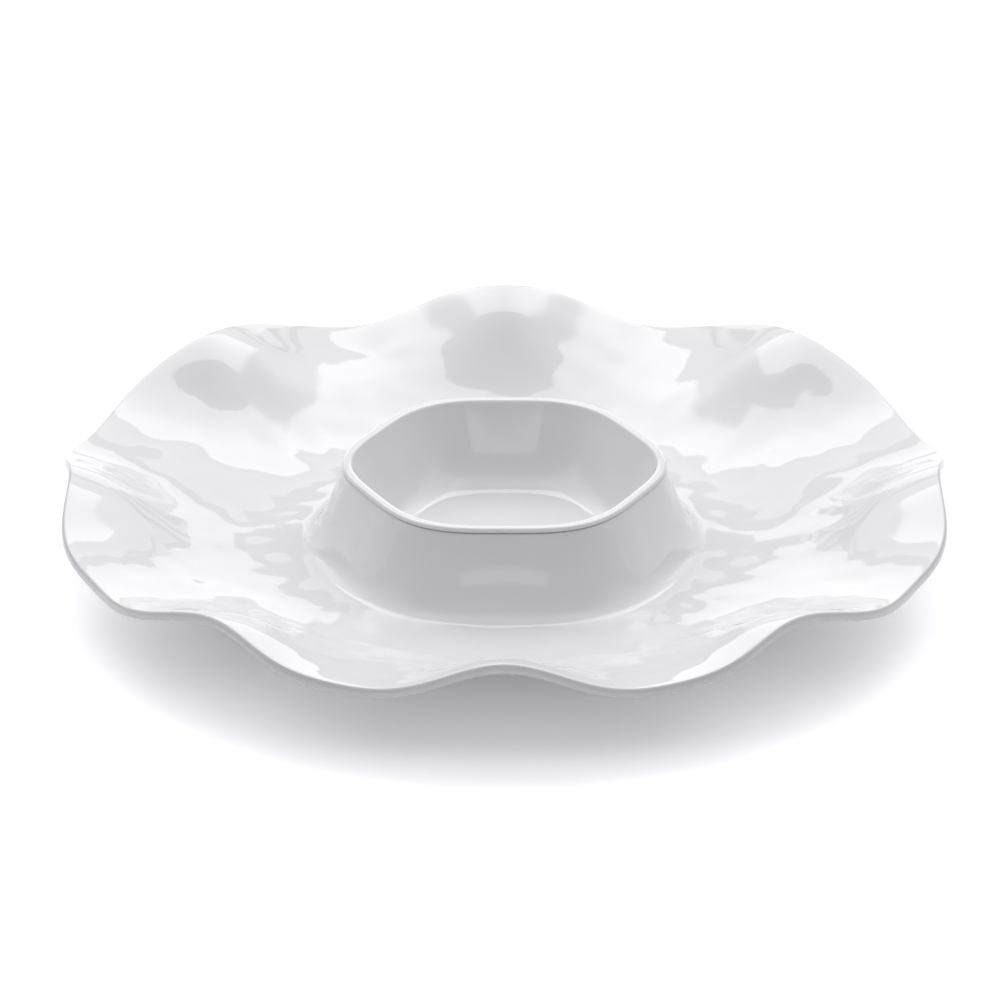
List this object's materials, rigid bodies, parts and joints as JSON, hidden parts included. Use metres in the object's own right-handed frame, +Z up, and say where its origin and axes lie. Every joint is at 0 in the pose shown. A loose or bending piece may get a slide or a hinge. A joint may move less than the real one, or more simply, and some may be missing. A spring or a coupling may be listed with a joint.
{
  "type": "chip and dip server",
  "caption": "Round glossy white chip and dip server: a tray with a softly ruffled rim round a raised collar, and a six-sided dip bowl that lifts out of it.",
  "frame": {"origin": "on the table, under the middle of the server", "axes": "+Z up; front is -Y and +Y points at a crest of the rim, while the crests at the sides lie 5 degrees forward of +X and -X; a flat side of the dip bowl faces -Y"},
  "size_m": [0.4112, 0.4084, 0.0516],
  "materials": {
    "tray_gloss": "high-gloss white moulded melamine, very slightly wavy as moulded",
    "bowl_gloss": "high-gloss white moulded melamine, very slightly wavy as moulded"
  },
  "bodies": {
    "tray": {"tray": "tray_gloss"},
    "dip_bowl": {"dip_bowl": "bowl_gloss"}
  },
  "joints": [
    {"name": "bowl_lift", "type": "slide", "parent": "tray", "child": "dip_bowl", "axis": [0, 0, 1], "range_m": [0, 0.06]}
  ]
}
